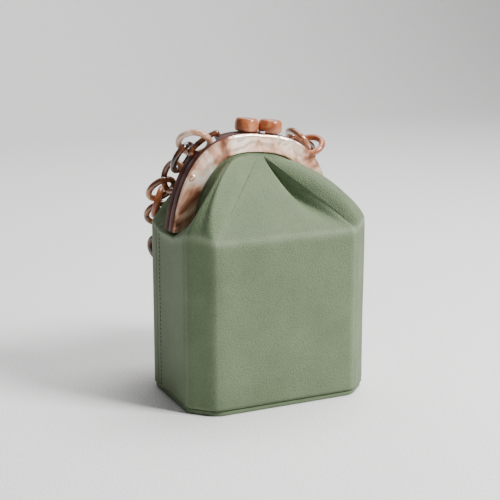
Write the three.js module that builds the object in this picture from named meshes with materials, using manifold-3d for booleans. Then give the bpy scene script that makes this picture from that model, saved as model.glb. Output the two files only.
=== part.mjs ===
// Box bag: a leather box on a chamfered base, gathered at the top into a
// two-part arched kiss-lock frame, with a chain of oval links.
// Millimetres, +Z up, the front faces -Y, the origin is the middle of the base.
import * as THREE from 'three';
import { mergeVertices } from 'three/addons/utils/BufferGeometryUtils.js';
import Module from 'manifold-3d';

const wasm = await Module();
wasm.setup();

// Driving dimensions of the leather box
const WIDTH = 160;
const DEPTH = 112;
const CORNER_FLAT = 19;
const CORNER_SOFTNESS = 6;
const FOLD_HEIGHT = 140;
const WALL = 2;
const BASE_HEIGHT = 4.7;
const BASE_INSET = 1;
const BASE_EDGE_RADIUS = 1.8;
const CLEARANCE = 0.3;

// Lapped side seam: the front panel is skived and covers the tucked back panel
const SEAM_SETBACK = 23;
const SEAM_LAP = 9;
const SEAM_SKIVE = 1;
const SEAM_TUCK = 0.8;
const SEAM_STEP = 1.2;
const LAP_SHARES = [0.08, 0.4, 0.7, 1];

// Driving dimensions of the arched frame, measured before it leans
const FRAME_OUTER_HALF = 71;
const FRAME_INNER_HALF = 54;
const FRAME_SPRING = 101;
const FRAME_BAND = 15;
const FRAME_LEG = 81;
const FRAME_THICKNESS = 9.5;
const FRAME_POWER = 2.69;
const FRAME_TOP = 214.4;
const FRAME_SHIFT = -0.6;
const FRAME_LEAN = THREE.MathUtils.degToRad(5.87);
const PARTING_GAP = 0.4;
const FACE_BEVEL = 1;
const RIM_ROUND = 3;
const GROOVE_WIDTH = 2.8;
const GROOVE_DEPTH = 4;
const GROOVE_SETBACK = 1.9;
const EDGE_IN_GROOVE = 3;

// Fittings on the frame
const RIVET_RADIUS = 2.5;
const RIVET_HEIGHT = 1.5;
const RIVET_DROP = 37;
const RIVET_PLACE = 0.72;
const KNOB_RADIUS = 9.6;
const KNOB_HEIGHT = 10.6;
const KNOB_STAGGER = 1.5;
const CATCH_WIDTH = 4;
const CATCH_HEIGHT = 1.5;
const CATCH_DEPTH = 2.4;
const CATCH_FORWARD = 8;
const EAR_PLACE = 43;
const EAR_LENGTH = 26;
const EAR_WIRE = 4.6;
const EAR_RISE = 2.8;
const EAR_Y = 4.9;
const NOTCH_LENGTH = 20;
const NOTCH_DEPTH = 9;
const NOTCH_REACH = 5.5;
const HINGE_LENGTH = 8;
const HINGE_PLACE = 0.36;
const HINGE_LEAF = 1;
const HINGE_PIN = 3;

// Links of the handle chain, outside sizes
const LINK_LENGTH = 30;
const LINK_BREADTH = 27;
const LINK_WIRE = 5.2;
const LINK_STEP = 17.8;
const LINK_SIDES = 12;
const WIRE_SIDES = 5;

// Links that come over the shoulders, from each ear down. across, behind and
// up: the middle of the link as shares of half the width, half the depth and
// the frame's height. face: the way its flat side looks. length: its long way.
const LEFT_LINKS = [
  { across: -0.6626, behind: 0.1216, up: 0.9705, face: [0.39, 0.73, 0.56], length: [-0.82, 0.55, -0.16] },
  { across: -0.7411, behind: 0.2903, up: 0.9113, face: [0.52, -0.71, -0.47], length: [0.03, -0.54, 0.84] },
  { across: -0.8017, behind: 0.4402, up: 0.8347, face: [0.93, 0.32, -0.17], length: [0.33, -0.51, 0.79] },
  { across: -0.8728, behind: 0.6734, up: 0.7804, face: [0.14, -0.72, -0.69], length: [0.00, -0.69, 0.72] },
  { across: -0.8526, behind: 0.8967, up: 0.7192, face: [0.85, -0.45, -0.28], length: [-0.06, -0.62, 0.78] },
  { across: -0.7829, behind: 1.1162, up: 0.6627, face: [-0.00, -0.77, -0.63], length: [-0.34, -0.59, 0.73] },
  { across: -0.7663, behind: 1.2705, up: 0.5868, face: [0.93, -0.36, 0.00], length: [-0.05, -0.14, 0.99] },
  { across: -0.7238, behind: 1.2714, up: 0.5037, face: [-0.76, -0.58, -0.31], length: [-0.45, 0.11, 0.89] },
];
const RIGHT_LINKS = [
  { across: 0.6043, behind: 0.1235, up: 0.9300, face: [0.33, 0.38, -0.86], length: [0.95, -0.15, 0.29] },
  { across: 0.5967, behind: 0.4151, up: 0.9407, face: [-0.82, -0.06, -0.56], length: [-0.05, 1.00, -0.05] },
  { across: 0.7032, behind: 0.5467, up: 0.8755, face: [-0.16, 0.94, 0.31], length: [-0.47, -0.34, 0.81] },
  { across: 0.7820, behind: 0.6932, up: 0.8029, face: [-0.86, -0.14, -0.49], length: [-0.36, -0.49, 0.79] },
  { across: 0.8199, behind: 0.9697, up: 0.7602, face: [0.01, 0.45, 0.90], length: [0.25, 0.87, -0.43] },
  { across: 0.8276, behind: 1.2287, up: 0.7076, face: [-0.97, 0.21, 0.14], length: [-0.02, -0.60, 0.80] },
  { across: 0.7963, behind: 1.2339, up: 0.6222, face: [-0.27, -0.96, 0.03], length: [0.14, -0.01, 0.99] },
];
// Between them the chain hangs in a slightly deepened half circle behind the bag
const LOOP_BEHIND = 1.27;
const LOOP_DROP = 1.24;
const LOOP_POINTS = 8;

const HALF_WIDTH = WIDTH / 2;
const HALF_DEPTH = DEPTH / 2;
const WALL_FOOT = BASE_HEIGHT + CLEARANCE;
const LEAF_Y = FRAME_THICKNESS - GROOVE_SETBACK - (GROOVE_WIDTH - WALL) / 2;

// How the leather runs from the box's rim to the frame, in sections round the
// bag. place: 0 middle of the front, 1 and 2 the ends of the corner's flat,
// 3 middle of the side. mouth: 0 top of the frame's opening, 1 its end, 2 the
// middle of the gusset under the end. lift: rim above the fold. rise and lean:
// how the wall carries on above the rim. reach, spread and drop: how it comes
// to the mouth, forward, sideways and down. Lengths are shares of ROLL. The
// back's folds rise less, by BACK_RISE, as far as BACK_RISE_END round the side.
const ROLL = 20;
const LEFT_FOLDS = [
  { place: 1, mouth: 0.03, lift: 0, rise: 0.96, lean: 0.94, setback: 0.77,
    reach: 0.76, spread: 0.94, drop: 0.96 },
  { place: 1.15, mouth: 0.1, lift: 0.05, rise: 1.15, lean: 0.08, setback: 0,
    reach: 0.45, spread: 1.1, drop: 0.08 },
  { place: 1.55, mouth: 0.28, lift: 0.18, rise: 1, lean: 0.12, setback: 0.04,
    reach: 0.75, spread: 0.6, drop: 0.05 },
  { place: 2, mouth: 0.46, lift: 0.18, rise: 0.7, lean: 0.25, setback: 0,
    reach: 0.9, spread: 0.05, drop: 0 },
  { place: 2.25, mouth: 0.62, lift: 0.05, rise: 0.3, lean: 0.5, setback: 0,
    reach: 0.65, spread: -0.45, drop: 0.3 },
  { place: 2.48, mouth: 0.79, lift: -0.05, rise: 0.25, lean: 0.25, setback: 0,
    reach: 0.35, spread: 0.2, drop: 0.38 },
  { place: 2.66, mouth: 0.97, lift: -0.18, rise: 0.26, lean: 0.03, setback: 0,
    reach: 0.13, spread: 0.25, drop: 0.1 },
];
const RIGHT_FOLDS = [
  { place: 1, mouth: 0.03, lift: 0, rise: 0.96, lean: 0.94, setback: 0.77,
    reach: 0.76, spread: 0.94, drop: 0.96 },
  { place: 1.15, mouth: 0.1, lift: 0.05, rise: 1.15, lean: 0.08, setback: 0,
    reach: 0.45, spread: 1.2, drop: 0.25 },
  { place: 1.55, mouth: 0.2, lift: 0.18, rise: 1, lean: 0.1, setback: 0.02,
    reach: 0.6, spread: 1.1, drop: 0.35 },
  { place: 2, mouth: 0.3, lift: 0.18, rise: 0.7, lean: 0.22, setback: 0,
    reach: 0.45, spread: 1.1, drop: 0.45 },
  { place: 2.25, mouth: 0.46, lift: 0.05, rise: 0.45, lean: 0.22, setback: 0,
    reach: 0.3, spread: 0.8, drop: 0.45 },
  { place: 2.48, mouth: 0.7, lift: -0.05, rise: 0.32, lean: 0.12, setback: 0,
    reach: 0.22, spread: 0.6, drop: 0.15 },
  { place: 2.66, mouth: 0.97, lift: -0.18, rise: 0.26, lean: 0.05, setback: 0,
    reach: 0.28, spread: 0.1, drop: -0.12 },
];
const BACK_RISE = 0.45;
const BACK_RISE_END = 2.36;
const TURN_AT_TOP = THREE.MathUtils.degToRad(50);
const TURN_AT_SIDE = THREE.MathUtils.degToRad(16);
const TURN_LENGTH = 4;
const LIP_DROP = 3.5;
const LIP_RISE = 6.5;
const GUSSET_DIP = 5.5;
const GUSSET_SAG = 0.36;
const GUSSET_HEM = 12;
const GUSSET_BLEND = 0.05;

const COLUMNS = [
  0, 0.35, 0.7, 0.9, 1, 1.05, 1.1, 1.15, 1.25, 1.4, 1.55, 1.75, 1.9, 2, 2.1, 2.2,
  2.3, 2.4, 2.5, 2.6, 2.68, 2.78, 2.89, 3,
];
const BASE_COLUMNS = [0.9, 0.97, 1.05, 1.13, 1.23, 1.77, 1.87, 1.95, 2.04, 2.16];
const SLEEVE_ROWS = [0.08, 0.2, 0.34, 0.48, 0.62, 0.76, 0.89, 1];

// Rectangle with cut corners, one quarter: the point at a place from 0 to 3
function planPoint(place) {
  const corners = [
    [0, HALF_DEPTH],
    [HALF_WIDTH - CORNER_FLAT, HALF_DEPTH],
    [HALF_WIDTH, HALF_DEPTH - CORNER_FLAT],
    [HALF_WIDTH, 0],
  ].map(([x, y]) => new THREE.Vector2(x, y));
  const span = Math.min(Math.floor(place), 2);
  const along = (from, to, share) => from.clone().lerp(to, share);
  const near = Math.round(place);
  const point = along(corners[span], corners[span + 1], place - span);
  if (near < 1 || near > 2) {
    return point;
  }
  const corner = corners[near];
  const signed = Math.sign(place - near) * point.distanceTo(corner);
  if (Math.abs(signed) >= CORNER_SOFTNESS) {
    return point;
  }
  const share = 0.5 + signed / (2 * CORNER_SOFTNESS);
  const towards = (other) => {
    const reach = CORNER_SOFTNESS / corner.distanceTo(other);
    return along(corner, other, reach);
  };
  const curve = new THREE.QuadraticBezierCurve(
    towards(corners[near - 1]), corner, towards(corners[near + 1]));
  return curve.getPoint(share);
}

// Superellipse arch: a point at a height below its top, as half width and height
function archPoint(halfWidth, top, below) {
  const height = FRAME_SPRING - top;
  const level = Math.max(0, (FRAME_SPRING - top - below) / height);
  const width = halfWidth * (1 - level ** FRAME_POWER) ** (1 / FRAME_POWER);
  return new THREE.Vector2(width, -(top + below));
}

// One side of an arch as points at even steps along its length
function archSide(halfWidth, top, steps) {
  const fine = 400;
  const reach = FRAME_LEG - top;
  const raw = [];
  for (let i = 0; i <= fine; i += 1) {
    raw.push(archPoint(halfWidth, top, reach * (i / fine) ** 3));
  }
  const lengths = [0];
  for (let i = 1; i <= fine; i += 1) {
    lengths.push(lengths[i - 1] + raw[i].distanceTo(raw[i - 1]));
  }
  const points = [];
  let index = 0;
  for (let step = 0; step <= steps; step += 1) {
    const target = (lengths[fine] * step) / steps;
    while (index < fine - 1 && lengths[index + 1] < target) {
      index += 1;
    }
    const share = (target - lengths[index]) / (lengths[index + 1] - lengths[index]);
    points.push(raw[index].clone().lerp(raw[index + 1], share));
  }
  return points;
}

const ARCH_STEPS = 200;
const INNER_ARCH = archSide(FRAME_INNER_HALF, FRAME_BAND, ARCH_STEPS);
const OUTER_ARCH = archSide(FRAME_OUTER_HALF, 0, ARCH_STEPS);

function archAt(arch, share) {
  const place = THREE.MathUtils.clamp(share, 0, 1) * ARCH_STEPS;
  const index = Math.min(Math.floor(place), ARCH_STEPS - 1);
  return arch[index].clone().lerp(arch[index + 1], place - index);
}

// From the upright arch's own plane to the leaning arch on the bag
function leanPoint(across, up, y) {
  const cos = Math.cos(FRAME_LEAN);
  const sin = Math.sin(FRAME_LEAN);
  return new THREE.Vector3(
    FRAME_SHIFT + across * cos + up * sin,
    y,
    FRAME_TOP - across * sin + up * cos);
}

// Smooth curve through a table's rows, by place
function foldValue(rows, place, name) {
  const last = rows.length - 1;
  const at = THREE.MathUtils.clamp(place, rows[0].place, rows[last].place);
  let i = 0;
  while (i < last - 1 && rows[i + 1].place < at) {
    i += 1;
  }
  const slope = (a, b) => (rows[b][name] - rows[a][name]) / (rows[b].place - rows[a].place);
  const tangent = (k) => {
    if (k === 0) return slope(0, 1);
    if (k === last) return slope(last - 1, last);
    return (slope(k - 1, k) + slope(k, k + 1)) / 2;
  };
  const step = rows[i + 1].place - rows[i].place;
  const t = (at - rows[i].place) / step;
  const a = rows[i][name];
  const b = rows[i + 1][name];
  const ta = tangent(i) * step;
  const tb = tangent(i + 1) * step;
  return a + ta * t + (3 * (b - a) - 2 * ta - tb) * t ** 2 + (2 * (a - b) + ta + tb) * t ** 3;
}

const GUSSET_PLACE = LEFT_FOLDS[LEFT_FOLDS.length - 1].place;

// The mouth's edge: where the leather leaves the groove, its plane's inward
// direction, and where it has turned forward past the frame's face
function mouthPoint(share, side) {
  const across = archAt(INNER_ARCH, share);
  const ahead = archAt(INNER_ARCH, share + 0.01);
  const behind = archAt(INNER_ARCH, share - 0.01);
  const along = ahead.clone().sub(behind).normalize();
  const inward = new THREE.Vector2(along.y, -along.x);
  const seat = across.clone().addScaledVector(inward, CLEARANCE + 0.1);
  const hidden = across.clone().addScaledVector(inward, -EDGE_IN_GROOVE);
  const turn = THREE.MathUtils.lerp(TURN_AT_TOP, TURN_AT_SIDE, Math.min(1, share / 0.25));
  const clear = seat.clone().addScaledVector(inward, TURN_LENGTH * Math.sin(turn));
  const place = (p, y) => leanPoint(side * p.x, p.y, y);
  return {
    hidden: place(hidden, LEAF_Y),
    seat: place(seat, LEAF_Y),
    clear: place(clear, LEAF_Y + TURN_LENGTH * Math.cos(turn)),
  };
}

// Middle of the frame's end and its outer corner, on one side
function frameEnd(side) {
  const inner = INNER_ARCH[ARCH_STEPS];
  const outer = OUTER_ARCH[ARCH_STEPS];
  const mid = inner.clone().lerp(outer, 0.5);
  return leanPoint(side * mid.x, mid.y, 0);
}

const HINGE_DROP = CLEARANCE + HINGE_LEAF + HINGE_PIN * 0.75;

// Gusset under the frame's end, from the rim's lip down into the bag
function gussetControls(place, side, rim) {
  const end = frameEnd(side);
  const under = end.z - HINGE_DROP;
  const sag = GUSSET_SAG * (FOLD_HEIGHT - under);
  const y = rim.y;
  const rise = new THREE.Vector3(rim.x, y, rim.z + LIP_RISE);
  const dip = new THREE.Vector3(end.x, y, under - GUSSET_DIP - sag);
  const hem = new THREE.Vector3(end.x - side * GUSSET_HEM, y * 0.6, dip.z - 2);
  return { rise, dip, hem };
}

// Points of one column of leather, from the foot of the wall to the mouth.
// All of it is worked out for the front and mirrored for the back.
function column(place, side, facing) {
  const plan = planPoint(place);
  const folds = side < 0 ? LEFT_FOLDS : RIGHT_FOLDS;
  const value = (name) => foldValue(folds, place, name) * ROLL;
  const middle = 1 - Math.min(1, place);
  const gather = THREE.MathUtils.clamp((place - GUSSET_PLACE) / GUSSET_BLEND, 0, 1);
  const calm = facing > 0 ? 0 : 1 - THREE.MathUtils.smoothstep(place, 2, BACK_RISE_END);
  const height = THREE.MathUtils.lerp(1, BACK_RISE, calm);
  let lift = place < 1 ? 0 : value('lift') * height;
  if (place > GUSSET_PLACE) {
    const share = (place - GUSSET_PLACE) / (3 - GUSSET_PLACE);
    lift = THREE.MathUtils.lerp(lift, -LIP_DROP, share);
  }
  const rim = new THREE.Vector3(side * plan.x, plan.y, FOLD_HEIGHT + lift);
  const mouth = place < 1
    ? mouthPoint(folds[0].mouth * place, side)
    : mouthPoint(foldValue(folds, place, 'mouth'), side);
  let rise = rim.clone();
  let come = mouth.clear.clone();
  if (middle > 0) {
    rise.lerp(mouth.clear, 1 / 3);
    come.lerp(rim, 1 / 3);
  } else {
    rise.x -= side * value('lean');
    rise.y -= value('setback');
    rise.z += value('rise') * height;
    come.x += side * value('spread');
    come.y += value('reach');
    come.z -= value('drop');
  }
  if (gather > 0) {
    const gusset = gussetControls(place, side, rim);
    const blend = gather * gather * (3 - 2 * gather);
    rise.lerp(gusset.rise, blend);
    come.lerp(gusset.dip, blend);
    mouth.clear.lerp(gusset.hem, blend);
    mouth.seat.lerp(gusset.hem.clone().add(new THREE.Vector3(0, 0, -1.5)), blend);
    mouth.hidden.lerp(gusset.hem.clone().add(new THREE.Vector3(0, 0, -3)), blend);
  }
  const foot = new THREE.Vector3(rim.x, rim.y, WALL_FOOT);
  const points = [foot, foot.clone().lerp(rim, 0.5), rim];
  const sleeve = new THREE.CubicBezierCurve3(rim, rise, come, mouth.clear);
  for (const share of SLEEVE_ROWS) {
    points.push(sleeve.getPoint(share));
  }
  points.push(mouth.seat, mouth.hidden);
  return points.map((p) => new THREE.Vector3(p.x, -facing * p.y, p.z));
}

// Unit normals of one line of the surface, pointing out of the bag
function lineNormals(line, before, after) {
  return line.map((point, j) => {
    const across = after[j].clone().sub(before[j]);
    const up = line[Math.min(j + 1, line.length - 1)].clone().sub(line[Math.max(j - 1, 0)]);
    return across.cross(up).normalize();
  });
}

// Closed wall between two grids of points of the same size
function slab(outer, inner) {
  const columns = outer.length;
  const rows = outer[0].length;
  const positions = [];
  const index = [];
  for (const grid of [outer, inner]) {
    for (const line of grid) {
      for (const p of line) {
        positions.push(p.x, p.y, p.z);
      }
    }
  }
  const out = (i, j) => i * rows + j;
  const inn = (i, j) => (columns + i) * rows + j;
  const quad = (a, b, c, d) => index.push(a, b, c, a, c, d);
  for (let i = 0; i < columns - 1; i += 1) {
    for (let j = 0; j < rows - 1; j += 1) {
      quad(out(i, j), out(i + 1, j), out(i + 1, j + 1), out(i, j + 1));
      quad(inn(i, j), inn(i, j + 1), inn(i + 1, j + 1), inn(i + 1, j));
    }
    quad(out(i, 0), inn(i, 0), inn(i + 1, 0), out(i + 1, 0));
    quad(out(i, rows - 1), out(i + 1, rows - 1), inn(i + 1, rows - 1), inn(i, rows - 1));
  }
  for (let j = 0; j < rows - 1; j += 1) {
    quad(out(0, j), out(0, j + 1), inn(0, j + 1), inn(0, j));
    const end = columns - 1;
    quad(out(end, j), inn(end, j), inn(end, j + 1), out(end, j + 1));
  }
  return closedGeometry(positions, index);
}

function closedGeometry(positions, index) {
  const geometry = new THREE.BufferGeometry();
  geometry.setAttribute('position', new THREE.Float32BufferAttribute(positions, 3));
  geometry.setIndex(index);
  return geometry;
}

// Closed solid through rings of points; the two ends are flat polygons
function loft(rings, outline) {
  const count = rings[0].length;
  const positions = [];
  const index = [];
  for (const ring of rings) {
    for (const p of ring) {
      positions.push(p.x, p.y, p.z);
    }
  }
  for (let i = 0; i < rings.length - 1; i += 1) {
    for (let j = 0; j < count; j += 1) {
      const next = (j + 1) % count;
      const a = i * count + j;
      const b = i * count + next;
      index.push(a, b, b + count, a, b + count, a + count);
    }
  }
  const faces = THREE.ShapeUtils.triangulateShape(outline, []);
  const top = (rings.length - 1) * count;
  for (const [a, b, c] of faces) {
    index.push(a, c, b);
    index.push(top + a, top + b, top + c);
  }
  return closedGeometry(positions, index);
}

// Closed ring of wire through rings of points
function wireLoop(rings) {
  const count = rings[0].length;
  const positions = [];
  const index = [];
  for (const ring of rings) {
    for (const p of ring) {
      positions.push(p.x, p.y, p.z);
    }
  }
  for (let i = 0; i < rings.length; i += 1) {
    const step = (i + 1) % rings.length;
    for (let j = 0; j < count; j += 1) {
      const next = (j + 1) % count;
      const a = i * count + j;
      const b = i * count + next;
      const c = step * count + next;
      const d = step * count + j;
      index.push(a, c, b, a, d, c);
    }
  }
  return closedGeometry(positions, index);
}

function toManifold(geometry) {
  const plain = mergeVertices(geometry, 1e-5);
  const mesh = new wasm.Mesh({
    numProp: 3,
    vertProperties: Float32Array.from(plain.attributes.position.array),
    triVerts: Uint32Array.from(plain.index.array),
  });
  return new wasm.Manifold(mesh);
}

function fromManifold(solid) {
  const mesh = solid.getMesh();
  return closedGeometry(Array.from(mesh.vertProperties), Array.from(mesh.triVerts));
}

const leather = () => new THREE.MeshStandardMaterial({ color: 0x8a9c7d, roughness: 0.6 });
const pearl = () => new THREE.MeshStandardMaterial({ color: 0xd9b295, roughness: 0.25 });
const amber = () => new THREE.MeshStandardMaterial({ color: 0xb5693f, roughness: 0.2 });
const tortoise = () => new THREE.MeshStandardMaterial({ color: 0x5a3427, roughness: 0.2 });
const silver = () => new THREE.MeshStandardMaterial({ color: 0xe4e4e6, roughness: 0.2, metalness: 1 });

const bag = new THREE.Group();

function addPiece(name, geometry, material) {
  const mesh = new THREE.Mesh(geometry, material);
  mesh.name = name;
  bag.add(mesh);
  return mesh;
}

// A place round the whole side: 0 to 3 is the front quarter, 3 to 6 the back
function sideColumn(w, side) {
  if (w < 0 || w > 6) {
    return sideColumn(w < 0 ? -w : 12 - w, -side);
  }
  return w <= 3 ? column(w, side, 1) : column(6 - w, side, -1);
}

// Distance behind the middle of the side, as a place on the side
function sidePlace(setback) {
  return 3 + setback / (HALF_DEPTH - CORNER_FLAT);
}

// One panel of leather: columns in order round the bag, each with the depths
// of its outer and inner faces below the leather's outer surface
function panel(stations) {
  const surface = stations.map((s) => sideColumn(s.w, s.side));
  const step = 0.02;
  const normals = stations.map((s, i) => lineNormals(
    surface[i], sideColumn(s.w - s.side * step, s.side), sideColumn(s.w + s.side * step, s.side)));
  const offset = (depth) => surface.map((line, i) => line.map((p, j) =>
    p.clone().addScaledVector(normals[i][j], -depth(stations[i]))));
  return slab(offset((s) => s.outer), offset((s) => s.inner));
}

function frontPanel() {
  const lapStart = sidePlace(SEAM_SETBACK - SEAM_LAP - 0.6);
  const half = [];
  for (const w of COLUMNS) {
    half.push({ w, outer: 0, inner: WALL });
  }
  for (const w of COLUMNS.slice(0, -1).reverse().map((c) => 6 - c)) {
    if (w < lapStart - 0.02) {
      half.push({ w, outer: 0, inner: WALL });
    }
  }
  half.push({ w: lapStart, outer: 0, inner: WALL });
  for (const share of [0, ...LAP_SHARES]) {
    half.push({
      w: sidePlace(SEAM_SETBACK - SEAM_LAP * (1 - share)),
      outer: 0,
      inner: SEAM_SKIVE,
    });
  }
  const left = half.map((s) => ({ ...s, side: -1 })).reverse();
  const right = half.slice(1).map((s) => ({ ...s, side: 1 }));
  addPiece('front_panel', panel([...left, ...right]), leather());
}

function backPanel() {
  const edge = SEAM_SETBACK + CLEARANCE;
  const tucked = { outer: SEAM_SKIVE + CLEARANCE, inner: SEAM_SKIVE + CLEARANCE + SEAM_TUCK };
  const half = [];
  for (const share of LAP_SHARES) {
    half.push({ w: sidePlace(SEAM_SETBACK - SEAM_LAP * (1 - share)), ...tucked });
  }
  half.push({ w: sidePlace(edge), ...tucked });
  const full = sidePlace(edge + SEAM_STEP);
  half.push({ w: full, outer: 0, inner: WALL });
  for (const w of COLUMNS.map((c) => 6 - c).reverse()) {
    if (w > full + 0.04) {
      half.push({ w, outer: 0, inner: WALL });
    }
  }
  const right = half.map((s) => ({ ...s, side: 1 }));
  const left = half.slice(0, -1).map((s) => ({ ...s, side: -1 })).reverse();
  addPiece('back_panel', panel([...right, ...left]), leather());
}

// Flat base board, inset from the walls, with a rounded edge
function basePanel() {
  const quarter = BASE_COLUMNS.map(planPoint);
  const outline = [];
  const add = (points, sx, sy) => {
    for (const p of points) {
      outline.push(new THREE.Vector2(sx * p.x, sy * p.y));
    }
  };
  add(quarter, 1, -1);
  add([...quarter].reverse(), 1, 1);
  add(quarter, -1, 1);
  add([...quarter].reverse(), -1, -1);
  const ring = (inset, z) => outline.map((p) => new THREE.Vector3(
    p.x * (1 - inset / HALF_WIDTH), p.y * (1 - inset / HALF_DEPTH), z));
  const r = BASE_EDGE_RADIUS;
  const levels = [
    [BASE_INSET + r, 0],
    [BASE_INSET + 0.3 * r, 0.3 * r],
    [BASE_INSET, r],
    [BASE_INSET, BASE_HEIGHT - r],
    [BASE_INSET + 0.3 * r, BASE_HEIGHT - 0.3 * r],
    [BASE_INSET + r, BASE_HEIGHT],
  ];
  addPiece('base_panel', loft(levels.map(([inset, z]) => ring(inset, z)), outline), leather());
}

frontPanel();
backPanel();
basePanel();

// Section of a frame half: distance out from the inner edge, negative values
// count back from the outer edge, and distance from the parting plane
function frameSection() {
  const face = FRAME_THICKNESS;
  const parting = PARTING_GAP / 2;
  const groove = face - GROOVE_SETBACK;
  const bevel = 0.8;
  return [
    [bevel, parting],
    [-bevel, parting],
    [-0.001, parting + bevel],
    [-0.001, face - RIM_ROUND],
    [-RIM_ROUND * 0.3, face - RIM_ROUND * 0.3],
    [-RIM_ROUND, face],
    [FACE_BEVEL, face],
    [0, face - FACE_BEVEL],
    [0, groove],
    [GROOVE_DEPTH, groove],
    [GROOVE_DEPTH, groove - GROOVE_WIDTH],
    [0, groove - GROOVE_WIDTH],
    [0, parting + bevel],
  ];
}

// The arch is made upright in its own plane, the top of the rim at its origin,
// and the whole group leans
const frame = new THREE.Group();
frame.position.set(FRAME_SHIFT, 0, FRAME_TOP);
frame.rotation.y = FRAME_LEAN;
bag.add(frame);

// A place on the rim by its distance from the middle: point, outward, along
function rimPlace(across) {
  const at = (x) => {
    const level = (1 - (Math.abs(x) / FRAME_OUTER_HALF) ** FRAME_POWER) ** (1 / FRAME_POWER);
    return new THREE.Vector2(x, FRAME_SPRING * (level - 1));
  };
  const along = at(across + 0.1).sub(at(across - 0.1)).normalize();
  return { point: at(across), along, outward: new THREE.Vector2(-along.y, along.x) };
}

function frameHalf(facing) {
  const section = frameSection();
  const stations = 17;
  const rings = [];
  for (let i = -stations; i <= stations; i += 1) {
    const side = i < 0 ? -1 : 1;
    const share = Math.abs(i) / stations;
    const inner = archAt(INNER_ARCH, share);
    const outer = archAt(OUTER_ARCH, share);
    const out = outer.clone().sub(inner).normalize();
    rings.push(section.map(([r, y]) => {
      const p = (r < 0 ? outer : inner).clone().addScaledVector(out, r);
      return new THREE.Vector3(side * p.x, -facing * y, p.y);
    }));
  }
  const outline = section.map(([r, y]) => new THREE.Vector2(r < 0 ? FRAME_BAND + r : r, y));
  const half = toManifold(loft(facing > 0 ? rings : rings.reverse(), outline));
  const notched = [-1, 1].reduce((solid, side) => solid.subtract(earNotch(side)), half);
  return fromManifold(notched);
}

// Slot across the rim under an ear, which the chain's end link passes through
function earNotch(side) {
  const { point, along } = rimPlace(side * EAR_PLACE);
  const high = 2 * NOTCH_DEPTH;
  const deep = NOTCH_REACH + 2 * FRAME_THICKNESS;
  const box = new THREE.BoxGeometry(NOTCH_LENGTH, deep, high);
  box.translate(0, deep / 2 - NOTCH_REACH, high / 2 - NOTCH_DEPTH);
  box.rotateY(-Math.atan2(along.y, along.x));
  box.translate(point.x, 0, point.y);
  return toManifold(bare(box));
}

function bare(geometry) {
  geometry.deleteAttribute('normal');
  geometry.deleteAttribute('uv');
  return geometry;
}

function addToFrame(name, geometry, material) {
  const mesh = new THREE.Mesh(geometry, material);
  mesh.name = name;
  frame.add(mesh);
  return mesh;
}

// Low bridge of wire over a notch, its feet on the back half's rim
function chainEar(side) {
  const half = EAR_LENGTH / 2;
  const foot = CLEARANCE;
  const steps = [
    [-half, foot], [-half + 0.5, EAR_RISE * 0.9], [-half + 3.2, EAR_RISE],
    [0, EAR_RISE], [half - 3.2, EAR_RISE], [half - 0.5, EAR_RISE * 0.9], [half, foot],
  ];
  const centre = rimPlace(side * EAR_PLACE);
  const turn = centre.along.x;
  const points = steps.map(([t, height]) => {
    const rim = rimPlace(side * EAR_PLACE + t * turn);
    const p = rim.point.clone().addScaledVector(rim.outward, height);
    return new THREE.Vector3(p.x, EAR_Y, p.y);
  });
  const sides = 8;
  const outline = [];
  for (let k = 0; k < sides; k += 1) {
    const angle = (2 * Math.PI * k) / sides;
    outline.push(new THREE.Vector2(Math.cos(angle), Math.sin(angle)).multiplyScalar(EAR_WIRE / 2));
  }
  const rings = points.map((p, i) => {
    const ahead = points[Math.min(i + 1, points.length - 1)];
    const behind = points[Math.max(i - 1, 0)];
    const isEnd = i === 0 || i === points.length - 1;
    const rim = rimPlace(p.x);
    const tangent = isEnd
      ? new THREE.Vector3(rim.outward.x, 0, rim.outward.y).multiplyScalar(i === 0 ? 1 : -1)
      : ahead.clone().sub(behind).normalize();
    const across = new THREE.Vector3(0, 1, 0);
    const normal = across.clone().cross(tangent);
    return outline.map((q) => p.clone()
      .addScaledVector(normal, q.x).addScaledVector(across, q.y));
  });
  return loft(rings, outline);
}

// Round clasp knob: flat top, sloped shoulder, full waist
function claspKnob() {
  const profile = [
    [0, 0], [0.86, 0], [0.97, 0.18], [1, 0.42], [0.97, 0.62], [0.86, 0.85], [0.7, 1], [0, 1],
  ].map(([r, z]) => new THREE.Vector2(r * KNOB_RADIUS, z * KNOB_HEIGHT));
  const knob = new THREE.LatheGeometry(profile, 14);
  knob.rotateX(Math.PI / 2);
  return knob;
}

function rivetDome() {
  const profile = [[0, 0], [1, 0], [0.88, 0.55], [0.5, 0.92], [0, 1]]
    .map(([r, z]) => new THREE.Vector2(r * RIVET_RADIUS, z * RIVET_HEIGHT));
  const dome = new THREE.LatheGeometry(profile, 10);
  dome.rotateX(Math.PI);
  return dome;
}

// Hidden hinge under a frame end: a leaf across both halves with its pin below
function hinge() {
  const leaf = new THREE.BoxGeometry(HINGE_LENGTH, 1.5 * FRAME_THICKNESS, HINGE_LEAF);
  leaf.translate(0, 0, -CLEARANCE - HINGE_LEAF / 2);
  const pin = new THREE.CylinderGeometry(HINGE_PIN / 2, HINGE_PIN / 2, HINGE_LENGTH, 12);
  pin.rotateZ(Math.PI / 2);
  pin.translate(0, 0, -HINGE_DROP + HINGE_PIN / 2);
  return fromManifold(toManifold(bare(leaf)).add(toManifold(bare(pin))));
}

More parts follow.
